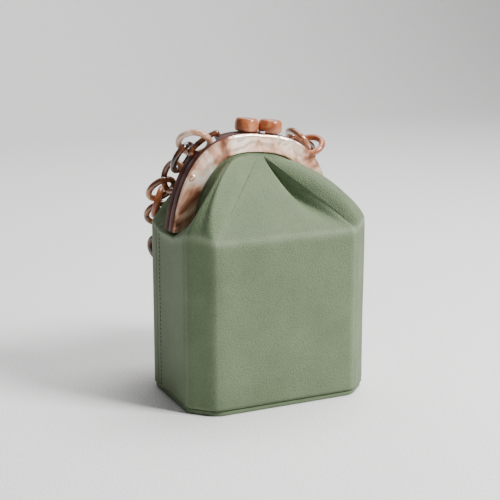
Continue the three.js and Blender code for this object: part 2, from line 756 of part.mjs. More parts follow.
function addFittings() {
  addToFrame('frame_front', frameHalf(1), pearl());
  addToFrame('frame_back', frameHalf(-1), pearl());
  for (const [side, word] of [[-1, 'left'], [1, 'right']]) {
    addToFrame(`chain_ear_${word}`, chainEar(side), tortoise());
    const knob = addToFrame(`clasp_knob_${word}`, claspKnob(), amber());
    knob.position.set(side * (KNOB_RADIUS + CLEARANCE / 2), -side * KNOB_STAGGER, CLEARANCE);
    const inner = archPoint(FRAME_INNER_HALF, FRAME_BAND, RIVET_DROP - FRAME_BAND);
    const outer = archPoint(FRAME_OUTER_HALF, 0, RIVET_DROP);
    const rivet = addToFrame(`rivet_${word}`, rivetDome(), pearl());
    const across = THREE.MathUtils.lerp(inner.x, outer.x, RIVET_PLACE);
    rivet.position.set(side * across, -FRAME_THICKNESS - CLEARANCE, -RIVET_DROP);
    const end = INNER_ARCH[ARCH_STEPS].clone().lerp(OUTER_ARCH[ARCH_STEPS], HINGE_PLACE);
    const leaf = addToFrame(`hinge_${word}`, hinge(), silver());
    leaf.position.set(side * end.x, 0, end.y);
  }
  const catchPlate = new THREE.BoxGeometry(CATCH_WIDTH, CATCH_DEPTH, CATCH_HEIGHT);
  const plate = addToFrame('clasp_catch', catchPlate, silver());
  plate.position.set(0, -CATCH_FORWARD, CLEARANCE + CATCH_HEIGHT / 2);
}

// One oval link of round wire from its middle, its face and its long way
function chainLink(middle, face, length) {
  const normal = face.clone().normalize();
  const long = length.clone().addScaledVector(normal, -normal.dot(length)).normalize();
  const short = normal.clone().cross(long);
  const longRadius = (LINK_LENGTH - LINK_WIRE) / 2;
  const shortRadius = (LINK_BREADTH - LINK_WIRE) / 2;
  const rings = [];
  for (let i = 0; i < LINK_SIDES; i += 1) {
    const turn = (i / LINK_SIDES) * 2 * Math.PI;
    const out = long.clone().multiplyScalar(Math.cos(turn) / longRadius)
      .addScaledVector(short, Math.sin(turn) / shortRadius).normalize();
    const centre = middle.clone()
      .addScaledVector(long, Math.cos(turn) * longRadius)
      .addScaledVector(short, Math.sin(turn) * shortRadius);
    const ring = [];
    for (let j = 0; j < WIRE_SIDES; j += 1) {
      const roll = (j / WIRE_SIDES) * 2 * Math.PI;
      ring.push(centre.clone()
        .addScaledVector(out, (Math.cos(roll) * LINK_WIRE) / 2)
        .addScaledVector(normal, (Math.sin(roll) * LINK_WIRE) / 2));
    }
    rings.push(ring);
  }
  return wireLoop(rings);
}

function linkMiddle({ across, behind, up }) {
  return new THREE.Vector3(across * HALF_WIDTH, behind * HALF_DEPTH, up * FRAME_TOP);
}

// Angle of a link's face about the chain, from looking backward
function rollAbout(along, face) {
  const back = new THREE.Vector3(0, -1, 0);
  back.addScaledVector(along, -back.dot(along)).normalize();
  return Math.atan2(face.dot(along.clone().cross(back)), face.dot(back));
}

function faceAbout(along, roll) {
  const back = new THREE.Vector3(0, -1, 0);
  back.addScaledVector(along, -back.dot(along)).normalize();
  return back.clone().multiplyScalar(Math.cos(roll))
    .addScaledVector(along.clone().cross(back), Math.sin(roll));
}

// Half circle below the line from start to end, behind the back panel
function hangingRoute(start, end) {
  const middle = start.clone().lerp(end, 0.5);
  const toward = start.clone().sub(middle);
  const down = new THREE.Vector3(toward.z, 0, -toward.x);
  const route = [start];
  for (let i = 1; i < LOOP_POINTS; i += 1) {
    const angle = (i / LOOP_POINTS) * Math.PI;
    const point = middle.clone()
      .addScaledVector(toward, Math.cos(angle))
      .addScaledVector(down, -LOOP_DROP * Math.sin(angle));
    point.y = LOOP_BEHIND * HALF_DEPTH;
    route.push(point);
  }
  return [...route, end];
}

// The whole chain in order from the left ear to the right one
function chainPoses() {
  const posed = (row) => ({
    middle: linkMiddle(row),
    face: new THREE.Vector3(...row.face),
    length: new THREE.Vector3(...row.length),
  });
  const left = LEFT_LINKS.map(posed);
  const right = RIGHT_LINKS.map(posed).reverse();
  const route = hangingRoute(left.at(-1).middle, right[0].middle);
  const curve = new THREE.CatmullRomCurve3(route, false, 'centripetal');
  const steps = Math.round(curve.getLength() / LINK_STEP);
  const quarter = Math.PI / 2;
  const first = rollAbout(curve.getTangentAt(0), left.at(-1).face);
  const last = rollAbout(curve.getTangentAt(1), right[0].face);
  const spare = THREE.MathUtils.euclideanModulo(last - first - steps * quarter, Math.PI);
  const twist = spare > quarter ? spare - Math.PI : spare;
  const loop = [];
  for (let i = 1; i < steps; i += 1) {
    const share = i / steps;
    const along = curve.getTangentAt(share);
    const roll = first + i * quarter + twist * share;
    loop.push({ middle: curve.getPointAt(share), face: faceAbout(along, roll), length: along });
  }
  return [...left, ...loop, ...right];
}

function addChain() {
  chainPoses().forEach(({ middle, face, length }, i) => {
    const name = `chain_link_${String(i + 1).padStart(2, '0')}`;
    addPiece(name, chainLink(middle, face, length), tortoise());
  });
}

addFittings();
addChain();

export default bag;
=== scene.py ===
import math

import bpy
import numpy as np
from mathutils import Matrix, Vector


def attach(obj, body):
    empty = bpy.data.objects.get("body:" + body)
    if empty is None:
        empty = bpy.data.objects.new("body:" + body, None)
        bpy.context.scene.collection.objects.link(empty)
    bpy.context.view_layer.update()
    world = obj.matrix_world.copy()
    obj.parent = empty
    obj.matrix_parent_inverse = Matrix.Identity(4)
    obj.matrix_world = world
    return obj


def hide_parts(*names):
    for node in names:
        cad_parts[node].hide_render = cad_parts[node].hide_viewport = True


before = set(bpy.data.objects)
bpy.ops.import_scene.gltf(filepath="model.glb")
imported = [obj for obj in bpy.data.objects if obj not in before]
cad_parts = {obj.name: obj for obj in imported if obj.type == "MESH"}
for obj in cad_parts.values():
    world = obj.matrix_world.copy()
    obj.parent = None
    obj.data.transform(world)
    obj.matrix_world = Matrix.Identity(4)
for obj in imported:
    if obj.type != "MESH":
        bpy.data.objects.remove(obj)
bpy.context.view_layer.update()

# Sizes are in millimetres, as on the bag, and MM turns them into scene metres
MM = 0.001

# The leather box and its base
WIDTH = 160
DEPTH = 112
CORNER_FLAT = 19
CORNER_SOFTNESS = 6
FOLD_HEIGHT = 140
WALL = 2
BASE_HEIGHT = 4.7
BASE_INSET = 1
BASE_EDGE_RADIUS = 1.8
BASE_CAP_INSET = 0.8
CLEARANCE = 0.3
HALF_WIDTH = WIDTH / 2
HALF_DEPTH = DEPTH / 2
WALL_FOOT = BASE_HEIGHT + CLEARANCE

# The lapped side seam and its stitches
SEAM_SETBACK = 23
SEAM_LAP = 9
SEAM_SKIVE = 1
SEAM_TUCK = 0.8
SEAM_STEP = 1.2
LAP_COLUMNS = 9
TUCK_COLUMNS = 8
TUCK_INSET = 0.7
COLUMN_GAP = 0.02
STITCH_INSET = 5.5
STITCH_PITCH = 3.6
STITCH_LENGTH = 2.5
STITCH_THREAD = 1.0
STITCH_START = 2.0
STITCH_SIDES = 6

# The arched frame, measured upright, and its lean
FRAME_OUTER_HALF = 71
FRAME_INNER_HALF = 54
FRAME_SPRING = 101
FRAME_BAND = 15
FRAME_LEG = 81
FRAME_THICKNESS = 9.5
FRAME_POWER = 2.69
FRAME_TOP = 214.4
FRAME_SHIFT = -0.6
FRAME_LEAN = math.radians(5.87)
PARTING_GAP = 0.4
PARTING_BEVEL = 0.8
FACE_BEVEL = 1
RIM_ROUND = 3
GROOVE_WIDTH = 2.8
GROOVE_DEPTH = 4
GROOVE_SETBACK = 1.9
EDGE_IN_GROOVE = 3
LEAF_Y = FRAME_THICKNESS - GROOVE_SETBACK - (GROOVE_WIDTH - WALL) / 2

# Fittings
KNOB_RADIUS = 9.6
KNOB_HEIGHT = 10.6
KNOB_STAGGER = 1.5
KNOB_STEPS = 56
RIVET_RADIUS = 2.5
RIVET_HEIGHT = 1.5
RIVET_DROP = 37
RIVET_PLACE = 0.72
RIVET_STEPS = 32
EAR_PLACE = 43
EAR_LENGTH = 26
EAR_WIRE = 4.6
EAR_RISE = 2.8
EAR_Y = 4.9
EAR_SIDES = 20
NOTCH_LENGTH = 20
NOTCH_DEPTH = 9
NOTCH_REACH = 5.5
LINK_LENGTH = 30
LINK_BREADTH = 27
LINK_WIRE = 5.2
LINK_STEPS = 56
WIRE_STEPS = 16
HINGE_DROP = 3.55

# How the leather runs from the box's rim to the frame. place: 0 middle of the
# front, 1 and 2 the ends of the corner's flat, 3 middle of the side. mouth:
# 0 top of the frame's opening, 1 its end, 2 the middle of the gusset under it.
# Lengths are shares of ROLL.
ROLL = 20
FOLD_COLUMNS = ("place", "mouth", "lift", "rise", "lean", "setback", "reach", "spread", "drop")
LEFT_FOLDS = np.array([
    (1.00, 0.03, 0.00, 0.96, 0.94, 0.77, 0.76, 0.94, 0.96),
    (1.15, 0.10, 0.05, 1.15, 0.08, 0.00, 0.45, 1.10, 0.08),
    (1.55, 0.28, 0.18, 1.00, 0.12, 0.04, 0.75, 0.60, 0.05),
    (2.00, 0.46, 0.18, 0.70, 0.25, 0.00, 0.90, 0.05, 0.00),
    (2.25, 0.62, 0.05, 0.30, 0.50, 0.00, 0.65, -0.45, 0.30),
    (2.48, 0.79, -0.05, 0.25, 0.25, 0.00, 0.35, 0.20, 0.38),
    (2.66, 0.97, -0.18, 0.26, 0.03, 0.00, 0.13, 0.25, 0.10),
])
RIGHT_FOLDS = np.array([
    (1.00, 0.03, 0.00, 0.96, 0.94, 0.77, 0.76, 0.94, 0.96),
    (1.15, 0.10, 0.05, 1.15, 0.08, 0.00, 0.45, 1.20, 0.25),
    (1.55, 0.20, 0.18, 1.00, 0.10, 0.02, 0.60, 1.10, 0.35),
    (2.00, 0.30, 0.18, 0.70, 0.22, 0.00, 0.45, 1.10, 0.45),
    (2.25, 0.46, 0.05, 0.45, 0.22, 0.00, 0.30, 0.80, 0.45),
    (2.48, 0.70, -0.05, 0.32, 0.12, 0.00, 0.22, 0.60, 0.15),
    (2.66, 0.97, -0.18, 0.26, 0.05, 0.00, 0.28, 0.10, -0.12),
])
BACK_RISE = 0.45
BACK_RISE_END = 2.36
TURN_AT_TOP = math.radians(50)
TURN_AT_SIDE = math.radians(16)
TURN_LENGTH = 4
TURN_FADE = 0.25
SEAT_GAP = 0.1
LIP_DROP = 3.5
LIP_RISE = 6.5
GUSSET_DIP = 5.5
GUSSET_SAG = 0.36
GUSSET_HEM = 12
HEM_DEPTH = 0.6
HEM_DROP = 2
HEM_STEP = 1.5
GUSSET_BLEND = 0.05
GUSSET_PLACE = 2.66

# How finely the leather is meshed: places round a quarter, and rows up a column
PLACE_KNOTS = (0, 0.9, 1.0, 1.2, 1.6, 2.4, 3)
PLACE_COUNTS = (26, 6, 20, 18, 30, 16)
WALL_ROWS = 56
SLEEVE_ROWS = 56
FRAME_STATIONS = 90
SOFTEN_ROWS = 4.0
SOFTEN_ROUNDS = 3

# Fine shape of the folded top. On the right, a deep crease beside the front's
# flat fold, wider below it than above, and the rounded shoulder over it. On the
# left, a raised ridge along the fold. Places are as in the tables above.
CREASE_PLACE = 0.87
CREASE_BELOW = 0.28
CREASE_ABOVE = 0.075
CREASE_DEPTH = 12.0
CREASE_PUSH = np.array([-0.46, 0.74, -0.49])
CREASE_RUN = 1.4
CREASE_TAPER = 1.1
SHOULDER_PLACE = 1.07
SHOULDER_WIDTH = 0.1
SHOULDER_HEIGHT = 3.0
RIDGE_HEIGHT = 1.5
RIDGE_WIDTH = 0.05
SWELL_END = 2.9
FEEL_DEPTH = 0.22

# Where the leather is painted lighter along the fold and at the corners: partly wear, partly a
# painted highlight on the fold's ridge
WEAR_AND_HIGHLIGHT_ROWS = 1.6
WEAR_AND_HIGHLIGHT_FLAT = 0.75
WEAR_AND_HIGHLIGHT_CORNER = 0.35
WEAR_AND_HIGHLIGHT_WIDTH = 0.05

# The studio, in metres: a floor that sweeps up into a wall behind the bag
FLOOR_NEAR = -1.6
FLOOR_FAR = 1.5
SWEEP_RADIUS = 0.9
WALL_HEIGHT = 2.6
FLOOR_HALF = 6.0

# Camera at the photograph's angle
CAMERA_AZIMUTH = math.radians(25.01)
CAMERA_ELEVATION = math.radians(13.36)
CAMERA_DISTANCE = 983.2
CAMERA_AIM = Vector((-7.44, 0, 117.8))
CAMERA_LENS = 86.4
CAMERA_SENSOR = 36


def make_camera():
    """The camera, left of the bag's front and a little above it."""
    camera = bpy.data.objects.new("camera", bpy.data.cameras.new("camera"))
    bpy.context.scene.collection.objects.link(camera)
    back = Vector((
        -math.sin(CAMERA_AZIMUTH) * math.cos(CAMERA_ELEVATION),
        -math.cos(CAMERA_AZIMUTH) * math.cos(CAMERA_ELEVATION),
        math.sin(CAMERA_ELEVATION)))
    camera.location = (CAMERA_AIM + back * CAMERA_DISTANCE) * MM
    camera.rotation_euler = (-back).to_track_quat("-Z", "Y").to_euler()
    camera.data.lens = CAMERA_LENS
    camera.data.sensor_width = CAMERA_SENSOR
    bpy.context.scene.camera = camera


def add_mesh(name, points, faces, material, node=None):
    """A new piece from points in millimetres, standing for a CAD node if one is named."""
    mesh = bpy.data.meshes.new(name)
    mesh.from_pydata((np.asarray(points, float) * MM).tolist(), [], faces)
    mesh.update()
    for polygon in mesh.polygons:
        polygon.use_smooth = True
    mesh.materials.append(material)
    piece = bpy.data.objects.new(name, mesh)
    bpy.context.scene.collection.objects.link(piece)
    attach(piece, "root")
    if node:
        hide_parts(node)
    return piece


def grid_faces(columns, rows, wrap_columns=False, wrap_rows=False):
    """Faces between neighbouring columns of points, closed round where asked."""
    faces = []
    for i in range(columns if wrap_columns else columns - 1):
        for j in range(rows if wrap_rows else rows - 1):
            a = i * rows + j
            b = i * rows + (j + 1) % rows
            c = ((i + 1) % columns) * rows + (j + 1) % rows
            d = ((i + 1) % columns) * rows + j
            faces.append((a, d, c, b))
    return faces


def tube_faces(rings, sides):
    """Faces of a tube of rings, with a cap at each end."""
    last = (rings - 1) * sides
    return [
        *grid_faces(rings, sides, wrap_rows=True),
        tuple(range(sides)),
        tuple(last + k for k in reversed(range(sides)))]


def add_attribute(piece, name, values):
    layer = piece.data.attributes.new(name, "FLOAT", "POINT")
    layer.data.foreach_set("value", np.asarray(values, np.float32))


# The bag's shape

def plan_point(place):
    """One quarter of the cut-cornered rectangle: the point at a place from 0 to 3."""
    corners = np.array([
        (0, HALF_DEPTH),
        (HALF_WIDTH - CORNER_FLAT, HALF_DEPTH),
        (HALF_WIDTH, HALF_DEPTH - CORNER_FLAT),
        (HALF_WIDTH, 0),
    ], float)
    span = min(int(place), 2)
    point = corners[span] + (corners[span + 1] - corners[span]) * (place - span)
    near = round(place)
    if near < 1 or near > 2:
        return point
    corner = corners[near]
    signed = math.copysign(np.linalg.norm(point - corner), place - near)
    if abs(signed) >= CORNER_SOFTNESS:
        return point
    t = 0.5 + signed / (2 * CORNER_SOFTNESS)
    before = corner + (corners[near - 1] - corner) * (
        CORNER_SOFTNESS / np.linalg.norm(corners[near - 1] - corner))
    after = corner + (corners[near + 1] - corner) * (
        CORNER_SOFTNESS / np.linalg.norm(corners[near + 1] - corner))
    return before * (1 - t) ** 2 + corner * 2 * t * (1 - t) + after * t ** 2


def arch_side(half_width, top):
    """One side of a superellipse arch, its points and the share of its length at each."""
    below = (FRAME_LEG - top) * np.linspace(0, 1, 401) ** 3
    level = np.maximum(0, (FRAME_SPRING - top - below) / (FRAME_SPRING - top))
    width = half_width * (1 - level ** FRAME_POWER) ** (1 / FRAME_POWER)
    points = np.stack([width, -(top + below)], 1)
    lengths = np.concatenate([[0], np.cumsum(np.linalg.norm(np.diff(points, axis=0), axis=1))])
    return points, lengths / lengths[-1]


INNER_ARCH = arch_side(FRAME_INNER_HALF, FRAME_BAND)
OUTER_ARCH = arch_side(FRAME_OUTER_HALF, 0)


def arch_at(arch, share):
    points, shares = arch
    share = min(max(share, 0), 1)
    return np.array([np.interp(share, shares, points[:, k]) for k in (0, 1)])


def lean_point(across, up, y):
    """From the upright arch's own plane to the leaning arch on the bag."""
    cos, sin = math.cos(FRAME_LEAN), math.sin(FRAME_LEAN)
    return np.array([
        FRAME_SHIFT + across * cos + up * sin,
        y,
        FRAME_TOP - across * sin + up * cos])


def fold_value(rows, place, name):
    """Smooth curve through a table's rows, by place."""
    column = FOLD_COLUMNS.index(name)
    places, values = rows[:, 0], rows[:, column]
    slopes = np.diff(values) / np.diff(places)
    tangents = np.concatenate([[slopes[0]], (slopes[1:] + slopes[:-1]) / 2, [slopes[-1]]])
    at = min(max(place, places[0]), places[-1])
    i = min(max(int(np.searchsorted(places, at)) - 1, 0), len(places) - 2)
    step = places[i + 1] - places[i]
    t = (at - places[i]) / step
    a, b = values[i], values[i + 1]
    ta, tb = tangents[i] * step, tangents[i + 1] * step
    return a + ta * t + (3 * (b - a) - 2 * ta - tb) * t ** 2 + (2 * (a - b) + ta + tb) * t ** 3


def mouth_points(share, side):
    """Where the leather is hidden in the groove, leaves it, and has turned forward."""
    at = arch_at(INNER_ARCH, share)
    along = arch_at(INNER_ARCH, share + 0.01) - arch_at(INNER_ARCH, share - 0.01)
    along = along / np.linalg.norm(along)
    inward = np.array([along[1], -along[0]])
    seat = at + inward * (CLEARANCE + SEAT_GAP)
    hidden = at - inward * EDGE_IN_GROOVE
    turn = TURN_AT_TOP + (TURN_AT_SIDE - TURN_AT_TOP) * min(1, share / TURN_FADE)
    clear = seat + inward * TURN_LENGTH * math.sin(turn)
    return (
        lean_point(side * hidden[0], hidden[1], LEAF_Y),
        lean_point(side * seat[0], seat[1], LEAF_Y),
        lean_point(side * clear[0], clear[1], LEAF_Y + TURN_LENGTH * math.cos(turn)))


def frame_end(side):
    middle = (INNER_ARCH[0][-1] + OUTER_ARCH[0][-1]) / 2
    return lean_point(side * middle[0], middle[1], 0)


def smooth_step(value, low, high):
    t = min(max((value - low) / (high - low), 0), 1)
    return t * t * (3 - 2 * t)


def bezier(a, b, c, d, t):
    t = t[:, None]
    return a * (1 - t) ** 3 + 3 * b * t * (1 - t) ** 2 + 3 * c * t ** 2 * (1 - t) + d * t ** 3


def column(place, side, facing):
    """One column of leather, from the foot of the wall to the mouth, as an array."""
    plan = plan_point(place)
    folds = LEFT_FOLDS if side < 0 else RIGHT_FOLDS
    calm = 0 if facing > 0 else 1 - smooth_step(place, 2, BACK_RISE_END)
    height = 1 + (BACK_RISE - 1) * calm
    lift = 0 if place < 1 else fold_value(folds, place, "lift") * ROLL * height
    if place > GUSSET_PLACE:
        lift += (-LIP_DROP - lift) * (place - GUSSET_PLACE) / (3 - GUSSET_PLACE)
    rim = np.array([side * plan[0], plan[1], FOLD_HEIGHT + lift])
    share = folds[0, 1] * place if place < 1 else fold_value(folds, place, "mouth")
    hidden, seat, clear = mouth_points(share, side)
    if place < 1:
        rise = rim + (clear - rim) / 3
        come = clear + (rim - clear) / 3
    else:
        lean, setback, up = (
            fold_value(folds, place, name) * ROLL for name in ("lean", "setback", "rise"))
        spread, reach, drop = (
            fold_value(folds, place, name) * ROLL for name in ("spread", "reach", "drop"))
        rise = rim + np.array([-side * lean, -setback, up * height])
        come = clear + np.array([side * spread, reach, -drop])
    gather = min(max((place - GUSSET_PLACE) / GUSSET_BLEND, 0), 1)
    if gather > 0:
        blend = gather * gather * (3 - 2 * gather)
        end = frame_end(side)
        under = end[2] - HINGE_DROP
        sag = GUSSET_SAG * (FOLD_HEIGHT - under)
        dip = np.array([end[0], rim[1], under - GUSSET_DIP - sag])
        hem = np.array([end[0] - side * GUSSET_HEM, rim[1] * HEM_DEPTH, dip[2] - HEM_DROP])
        rise = rise + (rim + np.array([0, 0, LIP_RISE]) - rise) * blend
        come = come + (dip - come) * blend
        clear = clear + (hem - clear) * blend
        seat = seat + (hem - np.array([0, 0, HEM_STEP]) - seat) * blend
        hidden = hidden + (hem - np.array([0, 0, 2 * HEM_STEP]) - hidden) * blend
    foot = np.array([rim[0], rim[1], WALL_FOOT])
    wall = foot + (rim - foot) * np.linspace(0, 1, WALL_ROWS + 1)[:, None]
    sleeve = bezier(rim, rise, come, clear, np.linspace(0, 1, SLEEVE_ROWS + 1)[1:])
    points = np.vstack([wall, sleeve, seat, hidden])
    points[:, 1] *= -facing
    return points


def side_column(w, side):
    """w is 0 to 3 round the front quarter and 3 to 6 round the back one."""
    if w < 0 or w > 6:
        return side_column(-w if w < 0 else 12 - w, -side)
    return column(w, side, 1) if w <= 3 else column(6 - w, side, -1)


def side_place(setback):
    return 3 + setback / (HALF_DEPTH - CORNER_FLAT)


def quarter_places():
    places = [0.0]
    for low, high, count in zip(PLACE_KNOTS, PLACE_KNOTS[1:], PLACE_COUNTS):
        places.extend(np.linspace(low, high, count + 1)[1:])
    return np.array(places)


def soften_fold(surface):
    """Rounds the fold where the wall turns into the sleeve."""
    rows = np.arange(surface.shape[1])
    weight = np.exp(-((rows - WALL_ROWS) / SOFTEN_ROWS) ** 2)[None, :, None] / 2
    for _ in range(SOFTEN_ROUNDS):
        middle = surface.copy()
        middle[:, 1:-1] = (surface[:, :-2] + surface[:, 2:]) / 2
        surface = surface + (middle - surface) * weight
    return surface


def surface_normals(surface):
    across = np.gradient(surface, axis=0)
    up = np.gradient(surface, axis=1)
    normals = np.cross(across, up)
    return normals / np.maximum(np.linalg.norm(normals, axis=2, keepdims=True), 1e-9)


def hand_feel(surface):
    """Gentle unevenness of stretched leather, as depths along the normal."""
    x, y, z = surface[..., 0], surface[..., 1], surface[..., 2]
    return np.sin(x / 17 + np.sin(z / 23)) * np.sin(z / 19 + y / 29) * FEEL_DEPTH


def shape_folds(surface, stations, share):
    """Adds the crease, the shoulder, the ridge and the hand feel to a panel's surface."""
    normals = surface_normals(surface)
    swell = hand_feel(surface) * (1 - share)[None, :]
    push = np.zeros_like(surface)
    for i, (w, side, outer, _) in enumerate(stations):
        if side > 0 and w < 2:
            width = CREASE_BELOW if w < CREASE_PLACE else CREASE_ABOVE
            near = math.exp(-((w - CREASE_PLACE) / width) ** 2)
            deep = CREASE_DEPTH * near * np.sin(np.pi * share ** CREASE_RUN) ** CREASE_TAPER
            push[i] = deep[:, None] * CREASE_PUSH
            roll = SHOULDER_HEIGHT * math.exp(-((w - SHOULDER_PLACE) / SHOULDER_WIDTH) ** 2)
            swell[i] += roll * np.sin(np.pi * share)
        if side < 0 and w < 2:
            ridge = RIDGE_HEIGHT * math.exp(-((w - 1) / RIDGE_WIDTH) ** 2)
            swell[i] += ridge * np.sin(np.pi * share) ** 0.5
        if outer > 0 or w > SWELL_END:
            swell[i] = 0
    swell[:, :2] = 0
    return surface + normals * swell[..., None] + push


def wear_and_highlight_amounts(stations, share):
    """How much wear and painted highlight each outside point of a panel gets, none inside."""
    rows = np.arange(len(share))
    # The fold row is painted lighter, partly as wear and partly as a painted highlight along the
    # fold's ridge.
    fold = np.exp(-((rows - WALL_ROWS) / WEAR_AND_HIGHLIGHT_ROWS) ** 2)
    wear_and_highlight = np.zeros((len(stations), 2 * len(share)))
    for i, (w, _, _, _) in enumerate(stations):
        place = w if w <= 3 else 6 - w
        flat = WEAR_AND_HIGHLIGHT_FLAT if place < 0.95 else 1.0
        corner = max(math.exp(-((place - at) / WEAR_AND_HIGHLIGHT_WIDTH) ** 2) for at in (1, 2))
        wear_and_highlight[i, :len(share)] = fold * flat + corner * WEAR_AND_HIGHLIGHT_CORNER * (share < 0.5)
    return wear_and_highlight.ravel()


def leather_panel(name, stations, material):
    """A panel from stations (w, side, outer depth, inner depth) in order round the bag."""
    surface = soften_fold(np.array([side_column(w, side) for w, side, _, _ in stations]))
    columns, count = surface.shape[:2]
    share = np.clip((np.arange(count) - WALL_ROWS) / SLEEVE_ROWS, 0, 1)
    surface = shape_folds(surface, stations, share)
    normals = surface_normals(surface)
    outer_depth = np.array([s[2] for s in stations])[:, None, None]
    inner_depth = np.array([s[3] for s in stations])[:, None, None]
    outside = surface - normals * outer_depth
    inside = surface - normals * inner_depth
    ring = np.concatenate([outside, inside[:, ::-1]], axis=1)
    faces = tube_faces(columns, 2 * count)
    piece = add_mesh(name, ring.reshape(-1, 3), faces, material, name)
    add_attribute(piece, "wear_and_highlight", wear_and_highlight_amounts(stations, share))


def front_stations():
    quarter = quarter_places()
    seam = side_place(SEAM_SETBACK)
    lap = side_place(SEAM_SETBACK - SEAM_LAP)
    back = [w for w in 6 - quarter[::-1] if 3 < w < lap - COLUMN_GAP]
    half = [(w, 0, WALL) for w in [*quarter, *back]]
    half += [(w, 0, SEAM_SKIVE) for w in np.linspace(lap, seam, LAP_COLUMNS)]
    left = [(w, -1, outer, inner) for w, outer, inner in reversed(half)]
    right = [(w, 1, outer, inner) for w, outer, inner in half[1:]]
    return left + right


def back_stations():
    quarter = quarter_places()
    edge = SEAM_SETBACK + CLEARANCE
    tuck = SEAM_SKIVE + CLEARANCE
    start = side_place(SEAM_SETBACK - SEAM_LAP + TUCK_INSET)
    half = [(w, tuck, tuck + SEAM_TUCK) for w in np.linspace(start, side_place(edge), TUCK_COLUMNS)]
    full = side_place(edge + SEAM_STEP)
    half += [(w, 0, WALL) for w in [full, *[w for w in 6 - quarter[::-1] if w > full + COLUMN_GAP]]]
    right = [(w, 1, outer, inner) for w, outer, inner in half]
    left = [(w, -1, outer, inner) for w, outer, inner in reversed(half[:-1])]
    return right + left


def capsule(start, end, radius, out):
    """A short raised stitch between two points: rings of points that pinch at its ends."""
    along = end - start
    length = np.linalg.norm(along)
    along = along / length
    across = np.cross(along, out)
    across = across / np.linalg.norm(across)
    rings = []
    for t, r in ((0, 0.25), (0.12, 0.75), (0.35, 1), (0.65, 1), (0.88, 0.75), (1, 0.25)):
        centre = start + along * length * t
        ring = [centre + radius * r * (math.cos(a) * across + math.sin(a) * out)
                for a in np.arange(STITCH_SIDES) * 2 * math.pi / STITCH_SIDES]
        rings.append(ring)
    return np.array(rings)


def side_stitches(side, material):
    """The row of stitches through both panels beside the side seam."""
    w = side_place(SEAM_SETBACK - STITCH_INSET)
    lines = [side_column(at, side) for at in (w - side * COLUMN_GAP, w, w + side * COLUMN_GAP)]
    line = soften_fold(np.array(lines))
    middle = line[1]
    normals = np.cross(line[2] - line[0], np.gradient(middle, axis=0))
    normals /= np.linalg.norm(normals, axis=1, keepdims=True)
    lengths = np.concatenate([[0], np.cumsum(np.linalg.norm(np.diff(middle, axis=0), axis=1))])
    stop = lengths[WALL_ROWS + SLEEVE_ROWS // 3]
    points, faces = [], []

    def at(distance):
        p = np.array([np.interp(distance, lengths, middle[:, k]) for k in range(3)])
        n = np.array([np.interp(distance, lengths, normals[:, k]) for k in range(3)])
        return p, n / np.linalg.norm(n)

    distance = STITCH_START
    while distance + STITCH_LENGTH < stop:
        start, out = at(distance)
        end, _ = at(distance + STITCH_LENGTH)
        rings = capsule(start, end, STITCH_THREAD / 2, out)
        base = len(points)
        points.extend(rings.reshape(-1, 3))
        faces += [tuple(base + k for k in face) for face in tube_faces(len(rings), STITCH_SIDES)]
        distance += STITCH_PITCH
    word = "left" if side < 0 else "right"
    add_mesh(f"side_stitches_{word}", points, faces, material)


def base_panel(material):
    """The flat base board with rounded edges, a little inside the walls."""
    quarter = np.array([plan_point(p) for p in np.linspace(0.85, 2.2, 40)])
    outline = np.concatenate([
        quarter * (1, -1), quarter[::-1] * (1, 1), quarter * (-1, 1), quarter[::-1] * (-1, -1)])
    r = BASE_EDGE_RADIUS
    turn = np.linspace(0, math.pi / 2, 7)
    low = [(BASE_INSET + r * (1 - math.sin(a)), r * (1 - math.cos(a))) for a in turn]
    high = [(inset, BASE_HEIGHT - z) for inset, z in reversed(low)]
    middle = HALF_DEPTH * BASE_CAP_INSET
    levels = [(middle, 0), *low, *high, (middle, BASE_HEIGHT)]
    rings = np.array([
        np.column_stack([
            outline[:, 0] * (1 - inset / HALF_WIDTH),
            outline[:, 1] * (1 - inset / HALF_DEPTH),
            np.full(len(outline), z)])
        for inset, z in levels])
    faces = tube_faces(len(levels), len(outline))
    points = rings.reshape(-1, 3)
    piece = add_mesh("base_panel_leather", points, faces, material, "base_panel")
    add_attribute(piece, "wear_and_highlight", np.zeros(len(piece.data.vertices)))


# The frame and its fittings

def frame_section():
    """Out from the inner edge, negative back from the outer edge, and from the parting."""
    face = FRAME_THICKNESS
    parting = PARTING_GAP / 2
    groove = face - GROOVE_SETBACK
    bevel = PARTING_BEVEL
    rim = [(-RIM_ROUND * (1 - math.cos(a)) - 0.001, face - RIM_ROUND * (1 - math.sin(a)))
           for a in np.linspace(0, math.pi / 2, 8)]
    return [
        (bevel, parting), (-bevel, parting), (-0.25, parting + 0.25), (-0.001, parting + bevel),
        *rim,
        (FACE_BEVEL * 1.6, face), (FACE_BEVEL, face - 0.08), (0.3, face - 0.35),
        (0, face - FACE_BEVEL),
        (0, groove), (GROOVE_DEPTH, groove), (GROOVE_DEPTH, groove - GROOVE_WIDTH),
        (0, groove - GROOVE_WIDTH), (0, parting + bevel),
    ]


def rim_place(across):
    """A place on the rim by its distance from the middle: point, along, outward."""
    def at(x):
        level = (1 - (abs(x) / FRAME_OUTER_HALF) ** FRAME_POWER) ** (1 / FRAME_POWER)
        return np.array([x, FRAME_SPRING * (level - 1)])
    along = at(across + 0.1) - at(across - 0.1)
    along = along / np.linalg.norm(along)
    return at(across), along, np.array([-along[1], along[0]])


